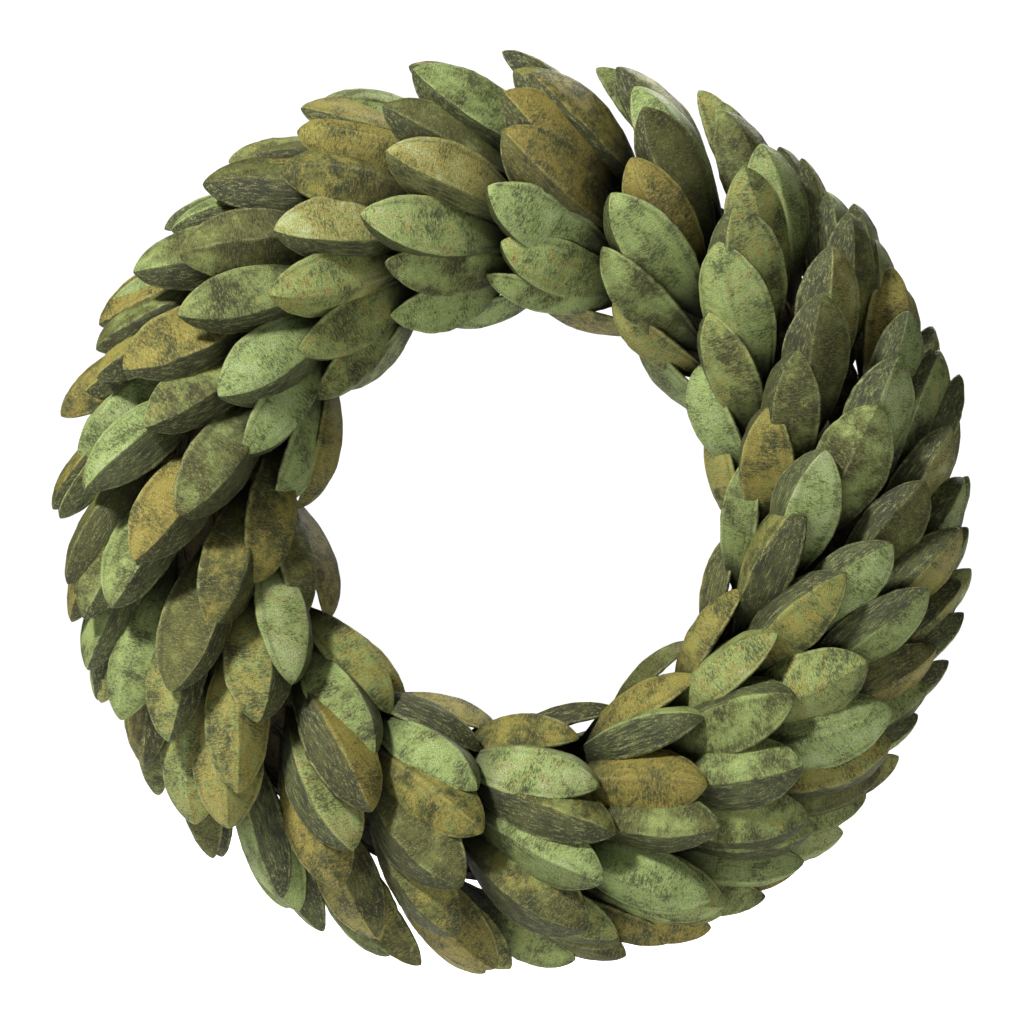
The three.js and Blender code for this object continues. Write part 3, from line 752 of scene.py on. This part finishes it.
tie = {"count": 6, "firstTurn": 18, "wire": 0.55, "winds": 3, "pitch": 1.15, "standOff": 0.9, "tail": 11,
       "twists": 4, "steps": 96, "tailSteps": 32, "tailStart": 32, "tailAside": 2.6, "tailSpread": 0.6,
       "shiver": 0.25, "sides": 8}


def makeTies():
    for number in range(tie["count"]):
        turn = math.radians(tie["firstTurn"]) + number * turnRound / tie["count"]
        path = []
        total = tie["winds"] * tie["steps"]
        for step in range(total + 1):
            radius, y = sectionSpot(step / tie["steps"] % 1, tie["standOff"])
            aside = (step / tie["steps"] - tie["winds"] / 2) * tie["pitch"]
            shiver = tie["shiver"] * noise.noise(Vector((step * 0.2, number * 5.0, 0)))
            if y > -tie["standOff"]:
                y = min(y, 0.0) - tie["standOff"]
            path.append(hungSpot(turn + (aside + shiver) / radius, radius, y))
        ends = []
        for phase in (0, math.pi):  # the two ends twisted together along the inner side of the back
            twist = []
            for step in range(tie["tailSteps"] + 1):
                share = step / tie["tailSteps"]
                swing = phase + share * tie["twists"] * turnRound
                radius = ring["radius"] - tie["tailStart"] + share * tie["tail"]
                spread = tie["tailSpread"] * (1 - 0.15 * share)
                aside = tie["tailAside"] + spread * math.cos(swing)
                twist.append(hungSpot(turn + aside / radius, radius, spread * math.sin(swing) - 1.5))
            ends.append((twist, False))
        piece = wirePiece(f"binding_tie_{number + 1}", [(path, False), *ends], tie["wire"], tieLacquer,
                          tie["sides"])
        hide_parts(f"wire_tie_{number + 1}")
        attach(piece, "wreath")


loop = {"wire": 1.4, "halfWidth": 13, "reach": 20.4, "eyeRadius": 3.9, "pivotDrop": 1.35, "eyeTurns": 1.75,
        "eyePitch": 2.4, "eyeSteps": 44, "legSteps": 12, "bendSteps": 10, "bend": 0.8, "sides": 14}


def makeLoop():
    pivot = wireFrame["radii"]["outer_middle"] - loop["pivotDrop"]
    centre = Vector((0, wireFrame["ringY"], pivot - ring["hang"]))
    low = -loop["reach"] + loop["wire"]
    bend = loop["halfWidth"] * loop["bend"]
    half = []
    for step in range(loop["legSteps"] + 1):
        share = step / loop["legSteps"]
        half.append(Vector((-loop["halfWidth"], 0, (low + bend) * share - loop["eyeRadius"] * (1 - share))))
    start, corner, end = (Vector((x - loop["halfWidth"], 0, z)) for x, z in (
        (0, low + bend), (0, low), (bend, low)))
    for step in range(1, loop["bendSteps"] + 1):
        share = step / loop["bendSteps"]
        half.append(start * (1 - share) ** 2 + corner * 2 * share * (1 - share) + end * share ** 2)
    eye = []
    steps = loop["eyeSteps"]
    for step in range(steps, 0, -1):  # the eye is rolled outwards round the ring
        swing = step / steps * loop["eyeTurns"] * turnRound
        eye.append(Vector((-loop["halfWidth"] - loop["eyePitch"] * swing / turnRound,
                           loop["eyeRadius"] * math.sin(swing), -loop["eyeRadius"] * math.cos(swing))))
    left = eye + half
    right = [Vector((-spot.x, spot.y, spot.z)) for spot in reversed(left)]
    path = [(centre + spot) * mm for spot in left + right]
    piece = wirePiece("swing_loop_wire", [(path, False)], loop["wire"], loopZinc, loop["sides"])
    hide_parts("hanging_loop")
    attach(piece, "loop")


makeStraw()
print("straw made")
makeFrame()
makeTies()
makeLoop()
print("frame, ties and loop made")


# Floor, light and camera, in metres.
studio = {"floorDrop": 0.12, "floorSize": 60, "floorGlow": 1.0, "floorPale": (0.90, 0.90, 0.90),
          "floorPaler": (0.93, 0.93, 0.93), "cameraAway": 2.3, "lens": 133.5, "world": 0.03,
          "background": 1.1, "warmth": (1.0, 0.975, 0.93)}


def makeStudio():
    lo, hi = cadBox
    centre = (lo + hi) / 2
    floor = newPiece("floor")
    half = studio["floorSize"] / 2
    floor.data.from_pydata([(x, y, lo.z - studio["floorDrop"]) for x, y in
                            ((-half, -half), (half, -half), (half, half), (-half, half))], [], [(0, 1, 2, 3)])
    finish, bench, shader = newFinish("pale_floor")
    place = bench.node("ShaderNodeTexCoord", None, None, out="Object")
    cloudy = bench.mixed(bench.noise(place, 3), studio["floorPale"], studio["floorPaler"])
    bench.plugIn(shader, "Base Color", cloudy)
    shader.inputs["Roughness"].default_value = 0.9
    shader.inputs["Emission Color"].default_value = (1, 1, 1, 1)
    shown = bench.node("ShaderNodeLightPath", None, None, out="Is Camera Ray")
    bench.plugIn(shader, "Emission Strength", shown * studio["floorGlow"] + studio["world"])
    floor.data.materials.append(finish)
    world = bpy.data.worlds.new("studio")
    world.use_nodes = True
    bpy.context.scene.world = world
    bench = Bench(world.node_tree)
    seen = bench.node("ShaderNodeLightPath", None, None, out="Is Camera Ray")
    sky = world.node_tree.nodes["Background"]
    bench.plugIn(sky, "Color", (1, 1, 1, 1))
    bench.plugIn(sky, "Strength", seen * (studio["background"] - studio["world"]) + studio["world"])
    lights = [  # place, size and watts: a key from the upper left, a weak fill, a light behind
        ("key", (-1.4, -1.25, 1.6), 0.36, 119), ("top", (0.2, -0.5, 2.0), 0.7, 8),
        ("fill", (1.6, -2.0, -0.2), 1.6, 4), ("back", (0.9, 2.2, 1.4), 1.0, 32),
    ]
    for name, spot, size, power in lights:
        lamp = bpy.data.lights.new(name, "AREA")
        lamp.size, lamp.energy, lamp.color = size, power, studio["warmth"]
        holder = bpy.data.objects.new(name, lamp)
        holder.location = spot
        holder.rotation_euler = (centre - Vector(spot)).to_track_quat("-Z", "Y").to_euler()
        bpy.context.scene.collection.objects.link(holder)
    camera = bpy.data.cameras.new("camera")
    camera.lens = studio["lens"]
    eye = bpy.data.objects.new("camera", camera)
    eye.location = (centre.x, centre.y - studio["cameraAway"], centre.z)
    eye.rotation_euler = (math.pi / 2, 0, 0)
    bpy.context.scene.collection.objects.link(eye)
    bpy.context.scene.camera = eye
    bpy.context.scene.view_settings.view_transform = "Standard"
    bpy.context.scene.view_settings.look = "None"


makeStudio()
print("studio made")
